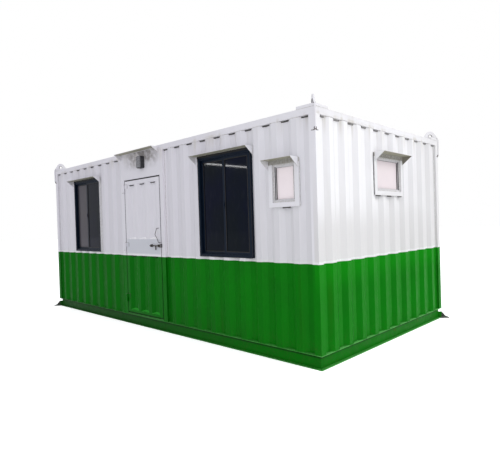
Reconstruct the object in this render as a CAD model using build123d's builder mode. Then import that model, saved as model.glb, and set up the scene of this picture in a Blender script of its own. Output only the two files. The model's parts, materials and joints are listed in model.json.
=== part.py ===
from build123d import *
import os
from math import atan2, cos, degrees, hypot, radians, sin

os.makedirs("parts", exist_ok=True)

# Portable site cabin in millimetres, +Z up, with the origin on the ground under its middle.
# The front wall, with the door, faces -Y. The right end wall, with one small window, faces +X.
# Heights are measured from the ground.

# Overall size, over the faces of the steel frame
length = 6096.0
width = 3048.0
height = 2591.0

# Base: rolled I-section beams and joists
beam_height = 145.0
flange_width = 75.0
flange_thickness = 8.0
web_thickness = 6.0
joist_pitch = 600.0
floor_thickness = 20.0

# Steel frame above the base
post_size = 80.0
rail_size = 70.0
cap_size = 230.0
cap_thickness = 30.0

# Corrugated sheet of the walls and roof
crest_width = 70.0
valley_width = 70.0
sheet_depth = 36.0
side_pitch = 265.0
end_pitch = 278.0
roof_pitch = 200.0
roof_rib_width = 60.0
roof_valley_width = 80.0
roof_sheet_depth = 20.0
roof_drop = 8.0

# Large sliding windows of the front wall: insets are from the ends of the cabin to their middles
window_width = 914.0
window_height = 1219.0
window_head_drop = 295.0
left_window_inset = 1253.0
right_window_inset = 1345.0

# Small windows: one in the front wall, one in the right end wall
small_window_height = 400.0
front_small_width = 300.0
front_small_inset = 408.0
front_small_head_drop = 516.0
end_small_width = 610.0
end_small_centre = -43.0
end_small_head_drop = 389.0
surround_face = 50.0
surround_proud = 20.0

# Window sections
frame_face = 25.0
fin_height = 8.0
outer_fin = (10.0, 14.0)
middle_fin = (34.0, 37.0)
inner_fin = (57.0, 60.0)
outer_track = 15.0
inner_track = 38.0
sash_thickness = 18.0
stile_width = 38.0
glass_thickness = 5.0
small_glass_depth = 26.0
small_glass_thickness = 6.0

# Hoods of folded sheet over the windows and the door
hood_sheet = 3.0
hood_depth = 118.0
hood_drop = 98.0
hood_side_lap = 40.0
hood_lift = 26.0
small_hood_depth = 146.0
small_hood_drop = 103.0
small_hood_lift = 45.0
door_hood_left_reach = 542.0
door_hood_right_reach = 458.0
door_hood_top_drop = 16.0
door_hood_drop = 88.0

# Door leaf and its frame
door_centre = -58.0
leaf_width = 914.0
leaf_thickness = 45.0
opening_bottom = 165.0
opening_head_drop = 409.0
leaf_side_gap = 8.0
leaf_top_gap = 20.0
leaf_bottom_gap = 10.0
jamb_width = 88.0
head_height = 60.0
stop_width = 15.0
stop_gap = 5.0
infill_depth = 30.0
infill_end_slope = 24.0
infill_count = 3
bottom_border = 43.0
top_border = 52.0
lock_rail_rise = 870.0
lock_rail_height = 243.0

# Barrel hinges on the left edge of the leaf
lower_hinge_rise = 160.0
middle_hinge_rise = 940.0
upper_hinge_drop = 167.0
barrel_radius = 11.0
barrel_height = 58.0
barrel_standoff = 13.0
pin_radius = 5.0
pin_length = 40.0
pin_clearance = 0.3
pin_end_gap = 1.0
hinge_seat_gap = 0.3
hinge_plate_length = 70.0
hinge_plate_thickness = 5.0

# Sliding bolt, its guides, and the keeper on the right jamb
bolt_rise = 1020.0
bolt_radius = 8.0
bolt_standoff = 18.0
bolt_length = 252.0
bolt_tip_reach = 3.0
bolt_guide_clearance = 0.3
guide_width = 12.0
guide_height = 36.0
guide_depth = 36.0
guide_insets = (34.0, 214.0)
bolt_lug_inset = 138.0
bolt_lug_width = 8.0
bolt_lug_drop = 62.0
bolt_lug_depth = 14.0
keeper_gap = 5.0
keeper_hole_radius = 14.0
keeper_height = 44.0
keeper_depth = 40.0

# Bent bar pull on the leaf, each point as inset from the leaf's right edge and height over the bolt
pull_radius = 4.0
pull_standoff = 30.0
pull_bend = 9.0
pull_points = ((54.0, 245.0), (100.0, 157.0), (52.0, 105.0), (18.0, 43.0))

# Bulkhead lamp over the door
lamp_width = 120.0
lamp_height = 175.0
lamp_base_depth = 58.0
lamp_glass_depth = 16.0
lamp_rim = 8.0
lamp_corner = 22.0
lamp_offset = 46.0
lamp_drop = 189.0

# Lifting lugs: plates set on the diagonal at the four upper corners
lug_thickness = 12.0
lug_stand = 20.0
lug_foot_drop = 235.0
lug_taper_drop = 200.0
lug_shoulder_rise = 12.0
lug_head_radius = 75.0
lug_head_inset = 105.0
lug_hole_rise = 66.0
lug_hole_radius = 24.0
lug_tail_inset = 220.0

# Lashing plates welded to three of the bottom corners, each with an upright gusset
lashing_reach = 90.0
lashing_width = 100.0
lashing_thickness = 12.0
gusset_reach = 66.0
gusset_height = 88.0
gusset_thickness = 10.0

# Sizes worked out from the values above
half_length = length / 2
half_width = width / 2
wall_thickness = post_size
wall_bottom = beam_height
wall_top = height - rail_size
cap_top = height + cap_thickness
left_window_centre = left_window_inset - half_length
right_window_centre = half_length - right_window_inset
front_small_centre = half_length - front_small_inset
window_top = height - window_head_drop
window_sill = window_top - window_height
front_small_top = height - front_small_head_drop
front_small_sill = front_small_top - small_window_height
end_small_top = height - end_small_head_drop
end_small_sill = end_small_top - small_window_height
opening_top = height - opening_head_drop
leaf_left = door_centre - leaf_width / 2
leaf_right = door_centre + leaf_width / 2
leaf_bottom = opening_bottom + leaf_bottom_gap
leaf_top = opening_top - leaf_top_gap
lower_infill = (leaf_bottom + bottom_border, leaf_bottom + lock_rail_rise)
upper_infill = (leaf_bottom + lock_rail_rise + lock_rail_height, leaf_top - top_border)
hinge_levels = (leaf_bottom + lower_hinge_rise, leaf_bottom + middle_hinge_rise, leaf_top - upper_hinge_drop)
bolt_level = leaf_bottom + bolt_rise
lamp_level = height - lamp_drop
doorway_left = leaf_left - leaf_side_gap
doorway_right = leaf_right + leaf_side_gap
hinge_x = leaf_left - leaf_side_gap / 2
post_line_x = half_length - post_size
post_line_y = half_width - post_size

# Upright planes on the outer face of each wall: x runs along the wall, y up, z outward
front_face = Plane(origin=(0, -half_width, 0), x_dir=(1, 0, 0), z_dir=(0, -1, 0))
right_face = Plane(origin=(half_length, 0, 0), x_dir=(0, 1, 0), z_dir=(1, 0, 0))
back_face = Plane(origin=(0, half_width, 0), x_dir=(-1, 0, 0), z_dir=(0, 1, 0))
left_face = Plane(origin=(-half_length, 0, 0), x_dir=(0, -1, 0), z_dir=(-1, 0, 0))


def plan_plane(face, level):
    """Level plane whose x runs along the wall and whose y runs inward from its outer face."""
    return Plane(origin=face.origin + Vector(0, 0, level), x_dir=face.x_dir, z_dir=(0, 0, 1))


def section_plane(face, along):
    """Upright plane across the wall: x runs outward, y up, with the normal to the wall's left."""
    return Plane(origin=face.origin + face.x_dir * along, x_dir=face.z_dir, z_dir=-face.x_dir)


def sheet_depth_at(along, pitch, valley, crest, depth):
    """Depth of a trapezoid-ribbed sheet below its crests, with a valley centred on zero."""
    offset = abs((along + pitch / 2) % pitch - pitch / 2)
    slope = (pitch - crest - valley) / 2
    return depth * min(1.0, max(0.0, (valley / 2 + slope - offset) / slope))


def sheet_outline(start, end, pitch, valley, crest, depth):
    """Points of the ribbed sheet from start to end, as distance along and depth."""
    slope = (pitch - crest - valley) / 2
    corners = (-valley / 2 - slope, -valley / 2, valley / 2, valley / 2 + slope)
    first = round(start / pitch) - 1
    last = round(end / pitch) + 1
    bends = [number * pitch + corner for number in range(first, last + 1) for corner in corners]
    kept = [start] + [bend for bend in bends if start + 1 < bend < end - 1] + [end]
    return [(place, sheet_depth_at(place, pitch, valley, crest, depth)) for place in kept]


def wall_outline(face, start, end, level, pitch):
    """Plan of one straight stretch of wall: ribbed sheet outside, flat lining inside."""
    outer = sheet_outline(start, end, pitch, valley_width, crest_width, sheet_depth)
    with BuildSketch(plan_plane(face, level)) as outline:
        with BuildLine():
            Polyline(*outer, (end, wall_thickness), (start, wall_thickness), close=True)
        make_face()
    return outline.sketch


def beam_section(plane, centre):
    """I-section of the base, standing on the plane's x axis."""
    with BuildSketch(plane) as section:
        with Locations((centre, flange_thickness / 2), (centre, beam_height - flange_thickness / 2)):
            Rectangle(flange_width, flange_thickness)
        with Locations((centre, beam_height / 2)):
            Rectangle(web_thickness, beam_height)
    return section.sketch


def rail_section(plane):
    """Square section of the top rails."""
    with BuildSketch(plane) as section:
        with Locations((rail_size / 2, wall_top + rail_size / 2)):
            Rectangle(rail_size, rail_size)
    return section.sketch


def run_plane(face, half_run):
    """Upright plane at the wall's left corner: x runs inward, y up, with the normal along the wall."""
    return Plane(origin=face.origin - face.x_dir * half_run, x_dir=-face.z_dir, z_dir=face.x_dir)


def mitre(face, half_run):
    """Cuts both ends of a run along the wall on the diagonals of the corners."""
    for end in (-1, 1):
        corner = face.origin + face.x_dir * (end * half_run)
        split(bisect_by=Plane(origin=corner, z_dir=face.z_dir - face.x_dir * end), keep=Keep.TOP)


def ring(plane, centre, bottom, wide, high, rim):
    """Rectangular ring of even width on an upright plane."""
    with BuildSketch(plane) as outline:
        with Locations((centre, bottom + high / 2)):
            Rectangle(wide, high)
            Rectangle(wide - 2 * rim, high - 2 * rim, mode=Mode.SUBTRACT)
    return outline.sketch


def panel(plane, start, end, bottom, top):
    """Plain rectangle on an upright plane."""
    with BuildSketch(plane) as outline:
        with Locations(((start + end) / 2, (bottom + top) / 2)):
            Rectangle(end - start, top - bottom)
    return outline.sketch


def save(sub_part, name):
    """Labels a finished sub-part and writes its file."""
    sub_part.part.label = name
    export_step(sub_part.part, f"parts/{name}.step")


# Base: beams along the sides and ends, mitred at the corners, with joists between the sides
with BuildPart() as base_side_beams:
    extrude(beam_section(run_plane(front_face, half_length), flange_width / 2), amount=length)
    mitre(front_face, half_length)
    mirror(about=Plane.XZ)
save(base_side_beams, "base_side_beams")

with BuildPart() as base_end_beams:
    extrude(beam_section(run_plane(right_face, half_width), flange_width / 2), amount=width)
    mitre(right_face, half_width)
    mirror(about=Plane.YZ)
save(base_end_beams, "base_end_beams")

joists_each_side = int((half_length - 2 * flange_width) / joist_pitch)
with BuildPart() as floor_joists:
    for number in range(-joists_each_side, joists_each_side + 1):
        joist = beam_section(Plane.XZ, number * joist_pitch)
        extrude(joist, amount=half_width - flange_width, both=True)
save(floor_joists, "floor_joists")

with BuildPart() as floor:
    with BuildSketch(Plane.XY.offset(beam_height)):
        Rectangle(2 * post_line_x, 2 * post_line_y)
    extrude(amount=floor_thickness)
save(floor, "floor")

# Corner posts between the base and the top rails
with BuildPart() as corner_posts:
    with BuildSketch(Plane.XY.offset(wall_bottom)):
        with GridLocations(length - post_size, width - post_size, 2, 2):
            Rectangle(post_size, post_size)
    extrude(amount=wall_top - wall_bottom)
save(corner_posts, "corner_posts")

# Top rails, mitred at the corners
with BuildPart() as top_side_rails:
    extrude(rail_section(run_plane(front_face, half_length)), amount=length)
    mitre(front_face, half_length)
    mirror(about=Plane.XZ)
save(top_side_rails, "top_side_rails")

with BuildPart() as top_end_rails:
    extrude(rail_section(run_plane(right_face, half_width)), amount=width)
    mitre(right_face, half_width)
    mirror(about=Plane.YZ)
save(top_end_rails, "top_end_rails")

with BuildPart() as corner_caps:
    with BuildSketch(Plane.XY.offset(height)):
        with GridLocations(length - cap_size, width - cap_size, 2, 2):
            Rectangle(cap_size, cap_size)
    extrude(amount=cap_thickness)
save(corner_caps, "corner_caps")

# Roof between the rails: ribbed sheet above, flat ceiling below
roof_half_length = half_length - rail_size
roof_top = height - roof_drop
roof_sheet = sheet_outline(
    -roof_half_length, roof_half_length, roof_pitch, roof_valley_width, roof_rib_width, roof_sheet_depth
)
with BuildPart() as roof:
    with BuildSketch(Plane.XZ):
        with BuildLine():
            Polyline(
                *[(place, roof_top - depth) for place, depth in roof_sheet],
                (roof_half_length, wall_top),
                (-roof_half_length, wall_top),
                close=True,
            )
        make_face()
    extrude(amount=half_width - rail_size, both=True)
save(roof, "roof")

# Walls. The front and right walls are split beside, under and over their openings.
left_window = (left_window_centre - window_width / 2, left_window_centre + window_width / 2)
right_window = (right_window_centre - window_width / 2, right_window_centre + window_width / 2)
front_small = (front_small_centre - front_small_width / 2, front_small_centre + front_small_width / 2)
end_small = (end_small_centre - end_small_width / 2, end_small_centre + end_small_width / 2)

front_piers = (
    (-post_line_x, left_window[0]),
    (left_window[1], doorway_left - jamb_width),
    (doorway_right + jamb_width, right_window[0]),
    (right_window[1], front_small[0]),
    (front_small[1], post_line_x),
)
front_infills = (
    (*left_window, wall_bottom, window_sill),
    (*left_window, window_top, wall_top),
    (*right_window, wall_bottom, window_sill),
    (*right_window, window_top, wall_top),
    (*front_small, wall_bottom, front_small_sill),
    (*front_small, front_small_top, wall_top),
)

with BuildPart() as front_wall_piers:
    for start, end in front_piers:
        outline = wall_outline(front_face, start, end, wall_bottom, side_pitch)
        extrude(outline, amount=wall_top - wall_bottom)
save(front_wall_piers, "front_wall_piers")

with BuildPart() as front_wall_infill:
    for start, end, bottom, top in front_infills:
        extrude(wall_outline(front_face, start, end, bottom, side_pitch), amount=top - bottom)
save(front_wall_infill, "front_wall_infill")

with BuildPart() as right_wall_piers:
    for start, end in ((-post_line_y, end_small[0]), (end_small[1], post_line_y)):
        outline = wall_outline(right_face, start, end, wall_bottom, end_pitch)
        extrude(outline, amount=wall_top - wall_bottom)
save(right_wall_piers, "right_wall_piers")

with BuildPart() as right_wall_infill:
    for bottom, top in ((wall_bottom, end_small_sill), (end_small_top, wall_top)):
        extrude(wall_outline(right_face, *end_small, bottom, end_pitch), amount=top - bottom)
save(right_wall_infill, "right_wall_infill")

with BuildPart() as back_wall:
    outline = wall_outline(back_face, -post_line_x, post_line_x, wall_bottom, side_pitch)
    extrude(outline, amount=wall_top - wall_bottom)
save(back_wall, "back_wall")

with BuildPart() as left_wall:
    outline = wall_outline(left_face, -post_line_y, post_line_y, wall_bottom, end_pitch)
    extrude(outline, amount=wall_top - wall_bottom)
save(left_wall, "left_wall")

# Door frame: jambs and head with a stop behind the leaf, a sill, and a flat panel over the head
stop_depth = leaf_thickness + stop_gap
with BuildPart() as door_jambs:
    for side, edge in ((-1, doorway_left), (1, doorway_right)):
        with BuildSketch(plan_plane(front_face, wall_bottom)):
            with Locations((edge + side * jamb_width / 2, wall_thickness / 2)):
                Rectangle(jamb_width, wall_thickness)
        extrude(amount=wall_top - wall_bottom)
        with BuildSketch(plan_plane(front_face, opening_bottom)):
            with Locations((edge - side * stop_width / 2, (stop_depth + wall_thickness) / 2)):
                Rectangle(stop_width, wall_thickness - stop_depth)
        extrude(amount=opening_top - stop_width - opening_bottom)
save(door_jambs, "door_jambs")

with BuildPart() as door_head:
    head = panel(front_face, doorway_left, doorway_right, opening_top, opening_top + head_height)
    extrude(head, amount=-wall_thickness)
    stop = panel(
        front_face.offset(-stop_depth), doorway_left, doorway_right, opening_top - stop_width, opening_top
    )
    extrude(stop, amount=stop_depth - wall_thickness)
save(door_head, "door_head")

with BuildPart() as over_door_panel:
    over_door = panel(front_face, doorway_left, doorway_right, opening_top + head_height, wall_top)
    extrude(over_door, amount=-wall_thickness)
save(over_door_panel, "over_door_panel")

with BuildPart() as door_sill:
    sill = panel(front_face, doorway_left, doorway_right, beam_height, opening_bottom)
    extrude(sill, amount=-wall_thickness)
save(door_sill, "door_sill")


# Door leaf: flat border and lock rail, with troughs pressed in above and below
infill_slope = (end_pitch - crest_width - valley_width) / 2


def infill_troughs(bottom, top):
    """Row of troughs that slope in on all four sides, as one shape to take away from the leaf."""
    with BuildPart() as troughs:
        with BuildSketch(plan_plane(front_face, bottom)):
            for number in range(infill_count):
                centre = door_centre + (number - (infill_count - 1) / 2) * end_pitch
                with BuildLine():
                    Polyline(
                        (centre - valley_width / 2 - infill_slope, 0),
                        (centre - valley_width / 2, infill_depth),
                        (centre + valley_width / 2, infill_depth),
                        (centre + valley_width / 2 + infill_slope, 0),
                        close=True,
                    )
                make_face()
        extrude(amount=top - bottom)
        with BuildSketch(section_plane(front_face, leaf_right)):
            with BuildLine():
                Polyline(
                    (0, bottom),
                    (-infill_depth, bottom + infill_end_slope),
                    (-infill_depth, top - infill_end_slope),
                    (0, top),
                    close=True,
                )
            make_face()
        extrude(amount=leaf_width, mode=Mode.INTERSECT)
    return troughs.part


with BuildPart() as door_leaf:
    leaf = panel(front_face, leaf_left, leaf_right, leaf_bottom, leaf_top)
    extrude(leaf, amount=-leaf_thickness)
    for bottom, top in (lower_infill, upper_infill):
        add(infill_troughs(bottom, top), mode=Mode.SUBTRACT)
save(door_leaf, "door_leaf")

# Hinges: the lower barrel and its pin on the jamb, the upper barrel on the leaf
hinge_y = -half_width - barrel_standoff


def barrel_outline(level, side):
    """Plan of a hinge barrel with its plate on the wall face, to the left or right."""
    with BuildSketch(Plane.XY.offset(level)) as outline:
        with Locations((hinge_x, hinge_y)):
            Circle(barrel_radius)
        plate_y = -half_width - hinge_plate_thickness / 2
        with Locations((hinge_x + side * (leaf_side_gap / 2 + hinge_plate_length) / 2, plate_y)):
            Rectangle(leaf_side_gap / 2 + hinge_plate_length, hinge_plate_thickness)
    return outline.sketch


with BuildPart() as hinge_lower_barrels:
    for level in hinge_levels:
        extrude(barrel_outline(level, -1), amount=barrel_height)
        with BuildSketch(Plane.XY.offset(level)):
            with Locations((hinge_x, hinge_y)):
                Circle(pin_radius)
        extrude(amount=barrel_height + pin_length)
save(hinge_lower_barrels, "hinge_lower_barrels")

with BuildPart() as hinge_upper_barrels:
    for level in hinge_levels:
        upper_level = level + barrel_height + hinge_seat_gap
        extrude(barrel_outline(upper_level, 1), amount=barrel_height)
        with BuildSketch(Plane.XY.offset(upper_level)):
            with Locations((hinge_x, hinge_y)):
                Circle(pin_radius + pin_clearance)
        extrude(amount=pin_length + pin_end_gap, mode=Mode.SUBTRACT)
save(hinge_upper_barrels, "hinge_upper_barrels")

# Sliding bolt, drawn back, with its tip just past the edge of the leaf
bolt_tip = leaf_right + bolt_tip_reach
bolt_tail = bolt_tip - bolt_length
bolt_y = -half_width - bolt_standoff
tail_plane = Plane(origin=(bolt_tail, bolt_y, bolt_level), x_dir=(0, 1, 0), z_dir=(1, 0, 0))
with BuildPart() as bolt:
    with BuildSketch(tail_plane):
        Circle(bolt_radius)
    extrude(amount=bolt_length)
    chamfer(bolt.faces().sort_by(Axis.X)[-1].edges(), bolt_radius / 4)
    with BuildSketch(tail_plane.offset(bolt_lug_inset)):
        with Locations((0, -bolt_lug_drop / 2)):
            Rectangle(bolt_lug_depth, bolt_lug_drop)
    extrude(amount=bolt_lug_width)
save(bolt, "bolt")

with BuildPart() as bolt_guides:
    for inset in guide_insets:
        with BuildSketch(section_plane(front_face, bolt_tail + inset)):
            with Locations((guide_depth / 2, bolt_level)):
                Rectangle(guide_depth, guide_height)
            with Locations((bolt_standoff, bolt_level)):
                Circle(bolt_radius + bolt_guide_clearance, mode=Mode.SUBTRACT)
        extrude(amount=-guide_width)
save(bolt_guides, "bolt_guides")

with BuildPart() as bolt_keeper:
    with BuildSketch(section_plane(front_face, doorway_right + keeper_gap)):
        with Locations((keeper_depth / 2, bolt_level)):
            Rectangle(keeper_depth, keeper_height)
        with Locations((bolt_standoff, bolt_level)):
            Circle(keeper_hole_radius, mode=Mode.SUBTRACT)
    extrude(amount=-guide_width)
save(bolt_keeper, "bolt_keeper")

# Pull: a bent bar that leaves the leaf, wanders down and returns to it by the bolt
pull_y = -half_width - pull_standoff
pull_path = [(leaf_right - inset, pull_y, bolt_level + rise) for inset, rise in pull_points]
pull_foot = (pull_path[0][0], -half_width, pull_path[0][2])
pull_end = (pull_path[-1][0], -half_width, pull_path[-1][2])
with BuildPart() as pull_handle:
    with BuildLine() as pull_line:
        FilletPolyline(pull_foot, *pull_path, pull_end, radius=pull_bend)
    with BuildSketch(Plane(origin=pull_foot, z_dir=(0, -1, 0))):
        Circle(pull_radius)
    sweep(path=pull_line.wires()[0])
save(pull_handle, "pull_handle")


# Windows
def framed_opening(face, centre, bottom, wide, high):
    """Window frame through the wall, with low fins inside it that part the tracks."""
    with BuildPart() as frame:
        outer = ring(face.offset(-wall_thickness), centre, bottom, wide, high, frame_face)
        extrude(outer, amount=wall_thickness)
        for near, far in (outer_fin, middle_fin, inner_fin):
            fin = ring(face.offset(-far), centre, bottom, wide, high, frame_face + fin_height)
            extrude(fin, amount=far - near)
    return frame


def sliding_sashes(face, centre, bottom, wide, high):
    """Two sashes that lap at the middle: the left in the inner track, the right in the outer."""
    clear_width = wide - 2 * frame_face
    clear_height = high - 2 * frame_face
    sash_width = (clear_width + stile_width) / 2
    shift = (clear_width - sash_width) / 2
    with BuildPart() as sashes:
        for side, track in ((-1, inner_track), (1, outer_track)):
            back = face.offset(-track - sash_thickness)
            sash = ring(
                back, centre + side * shift, bottom + frame_face, sash_width, clear_height, stile_width
            )
            extrude(sash, amount=sash_thickness)
    return sashes


def sash_panes(face, centre, bottom, wide, high):
    """Glass of the two sashes."""
    clear_width = wide - 2 * frame_face
    sash_width = (clear_width + stile_width) / 2
    shift = (clear_width - sash_width) / 2
    half_pane = sash_width / 2 - stile_width
    pane_bottom = bottom + frame_face + stile_width
    pane_top = bottom + high - frame_face - stile_width
    with BuildPart() as panes:
        for side, track in ((-1, inner_track), (1, outer_track)):
            pane_centre = centre + side * shift
            front = face.offset(-track - (sash_thickness - glass_thickness) / 2)
            pane = panel(front, pane_centre - half_pane, pane_centre + half_pane, pane_bottom, pane_top)
            extrude(pane, amount=-glass_thickness)
    return panes


def fixed_pane(face, centre, bottom, wide, high):
    """Frosted pane of a small window, held by the frame."""
    half_pane = wide / 2 - frame_face
    with BuildPart() as pane:
        outline = panel(
            face.offset(-small_glass_depth),
            centre - half_pane,
            centre + half_pane,
            bottom + frame_face,
            bottom + high - frame_face,
        )
        extrude(outline, amount=-small_glass_thickness)
    return pane


for side_name, centre in (("left", left_window_centre), ("right", right_window_centre)):
    place = (front_face, centre, window_sill, window_width, window_height)
    save(framed_opening(*place), f"{side_name}_window_frame")
    save(sliding_sashes(*place), f"{side_name}_window_sashes")
    save(sash_panes(*place), f"{side_name}_window_glass")

front_small_place = (front_face, front_small_centre, front_small_sill, front_small_width, small_window_height)
end_small_place = (right_face, end_small_centre, end_small_sill, end_small_width, small_window_height)
for side_name, place in (("front", front_small_place), ("end", end_small_place)):
    save(framed_opening(*place), f"{side_name}_small_window_frame")
    save(fixed_pane(*place), f"{side_name}_small_window_glass")

with BuildPart() as small_window_surrounds:
    for face, centre, bottom, wide, high in (front_small_place, end_small_place):
        half_outer = wide / 2 + surround_face
        top = bottom + high
        plate = panel(
            face, centre - half_outer, centre + half_outer, bottom - surround_face, top + small_hood_lift
        )
        extrude(plate, amount=surround_proud)
        hole = panel(face, centre - wide / 2, centre + wide / 2, bottom, top)
        extrude(hole, amount=surround_proud, mode=Mode.SUBTRACT)
save(small_window_surrounds, "small_window_surrounds")


# Hoods: a level sheet with a triangular cheek at each end, welded to the wall or the surround
def hood_cheek(face, along, seat, top, drop, depth):
    """Triangular cheek of a hood, on a plane across the wall."""
    with BuildSketch(section_plane(face, along)) as outline:
        with BuildLine():
            Polyline(
                (seat, top),
                (depth, top),
                (depth, top - hood_sheet),
                (seat, top - drop),
                close=True,
            )
        make_face()
    return outline.sketch


def add_hood(face, start, end, seat, top, drop, depth):
    """Adds one hood to the part in hand; its seat is how far what carries it stands proud."""
    sheet = panel(face.offset(seat), start, end, top - hood_sheet, top)
    extrude(sheet, amount=depth - seat)
    for edge in (start + hood_sheet, end):
        extrude(hood_cheek(face, edge, seat, top, drop, depth), amount=hood_sheet)


with BuildPart() as window_hoods:
    for start, end in (left_window, right_window):
        hood_span = (start - hood_side_lap, end + hood_side_lap)
        add_hood(front_face, *hood_span, 0, window_top + hood_lift, hood_drop, hood_depth)
    for face, centre, bottom, wide, high in (front_small_place, end_small_place):
        half_outer = wide / 2 + surround_face
        add_hood(
            face,
            centre - half_outer,
            centre + half_outer,
            surround_proud,
            bottom + high + small_hood_lift,
            small_hood_drop,
            small_hood_depth,
        )
save(window_hoods, "window_hoods")

door_hood_span = (door_centre - door_hood_left_reach, door_centre + door_hood_right_reach)
with BuildPart() as door_hood:
    add_hood(front_face, *door_hood_span, 0, height - door_hood_top_drop, door_hood_drop, hood_depth)
save(door_hood, "door_hood")

# Bulkhead lamp over the door
lamp_centre = door_centre + lamp_offset
with BuildPart() as lamp_body:
    with BuildSketch(front_face):
        with Locations((lamp_centre, lamp_level)):
            RectangleRounded(lamp_width, lamp_height, lamp_corner)
    extrude(amount=lamp_base_depth)
save(lamp_body, "lamp_body")

with BuildPart() as lamp_glass:
    with BuildSketch(front_face.offset(lamp_base_depth)):
        with Locations((lamp_centre, lamp_level)):
            RectangleRounded(lamp_width - 2 * lamp_rim, lamp_height - 2 * lamp_rim, lamp_corner - lamp_rim)
    extrude(amount=lamp_glass_depth)
    fillet(lamp_glass.faces().sort_by(Axis.Y)[0].edges(), lamp_glass_depth / 2)
save(lamp_glass, "lamp_glass")


# Lifting lugs: each stands on its corner cap and runs down outside the corner
def tangent_point(point, centre, radius, side):
    """Point where a line from outside touches a circle, on its left or right."""
    away = Vector(*centre) - Vector(*point)
    half_turn = degrees(atan2(radius, hypot(away.X, away.Y)))
    turned = atan2(-away.Y, -away.X) + side * radians(90 - half_turn)
    return (centre[0] + radius * cos(turned), centre[1] + radius * sin(turned))


head_centre = (-lug_head_inset, height + lug_hole_rise)
shoulder = (lug_stand, height + lug_shoulder_rise)
tail = (-lug_tail_inset, cap_top)


def lug_plane(end, side):
    """Upright plane on the diagonal through a corner: x runs outward, y up."""
    outward = Vector(end, side, 0)
    corner = (end * half_length, side * half_width, 0)
    return Plane(origin=corner, x_dir=outward, z_dir=outward.cross(Vector(0, 0, 1)))


corner_names = {
    (-1, -1): "front_left",
    (1, -1): "front_right",
    (-1, 1): "back_left",
    (1, 1): "back_right",
}
for (end, side), corner_name in corner_names.items():
    with BuildPart() as lifting_lug:
        with BuildSketch(lug_plane(end, side)):
            with BuildLine():
                Polyline(
                    (0, height - lug_foot_drop),
                    (lug_stand, height - lug_taper_drop),
                    shoulder,
                    tangent_point(shoulder, head_centre, lug_head_radius, 1),
                    head_centre,
                    tangent_point(tail, head_centre, lug_head_radius, -1),
                    tail,
                    (0, cap_top),
                    close=True,
                )
            make_face()
            with Locations(head_centre):
                Circle(lug_head_radius)
                Circle(lug_hole_radius, mode=Mode.SUBTRACT)
            with Locations((-lug_tail_inset / 2, cap_top - lug_foot_drop / 2)):
                Rectangle(lug_tail_inset, lug_foot_drop, mode=Mode.SUBTRACT)
        extrude(amount=lug_thickness / 2, both=True)
    save(lifting_lug, f"lifting_lug_{corner_name}")

# Lashing plates: level plates that hug three bottom corners, the near right one having none.
# The gusset of each runs in over the flange to the web of the beams.
lashing_half = lashing_width / 2
web_corner = (flange_width - web_thickness) / 2 * hypot(1, 1)
with BuildPart() as lashing_plates:
    for end, side in ((-1, -1), (-1, 1), (1, 1)):
        with BuildSketch(lug_plane(end, side)):
            with BuildLine():
                Polyline(
                    (-web_corner, flange_thickness),
                    (0, flange_thickness),
                    (0, lashing_thickness),
                    (gusset_reach, lashing_thickness),
                    (0, gusset_height),
                    (-web_corner, gusset_height),
                    close=True,
                )
            make_face()
        extrude(amount=gusset_thickness / 2, both=True)
        corner = (end * half_length, side * half_width, 0)
        with BuildSketch(Plane(origin=corner, x_dir=(end, side, 0), z_dir=(0, 0, 1))):
            with BuildLine():
                Polyline(
                    (0, 0),
                    (-lashing_half, lashing_half),
                    (lashing_reach, lashing_half),
                    (lashing_reach, -lashing_half),
                    (-lashing_half, -lashing_half),
                    close=True,
                )
            make_face()
        extrude(amount=lashing_thickness)
save(lashing_plates, "lashing_plates")
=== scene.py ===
import json
import math
import random

import bmesh
import bpy
from mathutils import Matrix, Quaternion, Vector


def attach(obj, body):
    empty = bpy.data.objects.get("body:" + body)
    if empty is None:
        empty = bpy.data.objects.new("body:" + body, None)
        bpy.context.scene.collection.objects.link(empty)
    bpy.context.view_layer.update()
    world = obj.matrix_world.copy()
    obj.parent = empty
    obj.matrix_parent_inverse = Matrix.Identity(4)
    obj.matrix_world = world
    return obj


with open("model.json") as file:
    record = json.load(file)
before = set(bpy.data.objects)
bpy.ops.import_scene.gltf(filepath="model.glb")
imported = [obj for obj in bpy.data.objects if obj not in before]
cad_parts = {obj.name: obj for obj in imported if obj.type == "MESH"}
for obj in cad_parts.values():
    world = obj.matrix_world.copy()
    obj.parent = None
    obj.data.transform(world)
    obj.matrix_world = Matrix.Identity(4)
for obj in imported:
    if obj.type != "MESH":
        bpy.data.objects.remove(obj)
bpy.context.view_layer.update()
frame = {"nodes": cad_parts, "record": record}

nodes = frame["nodes"]
scene = bpy.context.scene

# Sizes and places of the cabin in metres, as the CAD has them
HALF_LENGTH = 3.048
HALF_WIDTH = 1.524
HEIGHT = 2.591
BEAM_HEIGHT = 0.145
FLANGE = 0.008
LASHING_PLATE = 0.012
WALL_TOP = 2.521
PAINT_LINE = 1.040
SHEET_DEPTH = 0.036
SHEET_FLAT = 0.070
SIDE_PITCH = 0.265
END_PITCH = 0.278
POST_LINE_X = 2.968
POST_LINE_Y = 1.444
HOLE_INSET = 0.105
HOLE_RISE = 0.066

# Large windows
WINDOW_WIDTH = 0.914
WINDOW_SILL = 1.077
WINDOW_TOP = 2.296
LEFT_CENTRE = -1.795
RIGHT_CENTRE = 1.703
FRAME_FACE = 0.025
STILE = 0.038

# Small windows, each in a surround that stands out from the wall
SMALL_HIGH = 0.400
FRONT_SMALL_CENTRE = 2.640
FRONT_SMALL_WIDTH = 0.300
FRONT_SMALL_SILL = 1.675
END_SMALL_CENTRE = -0.043
END_SMALL_WIDTH = 0.610
END_SMALL_SILL = 1.802
SURROUND = 0.050
SURROUND_FACE = 0.020

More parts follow.
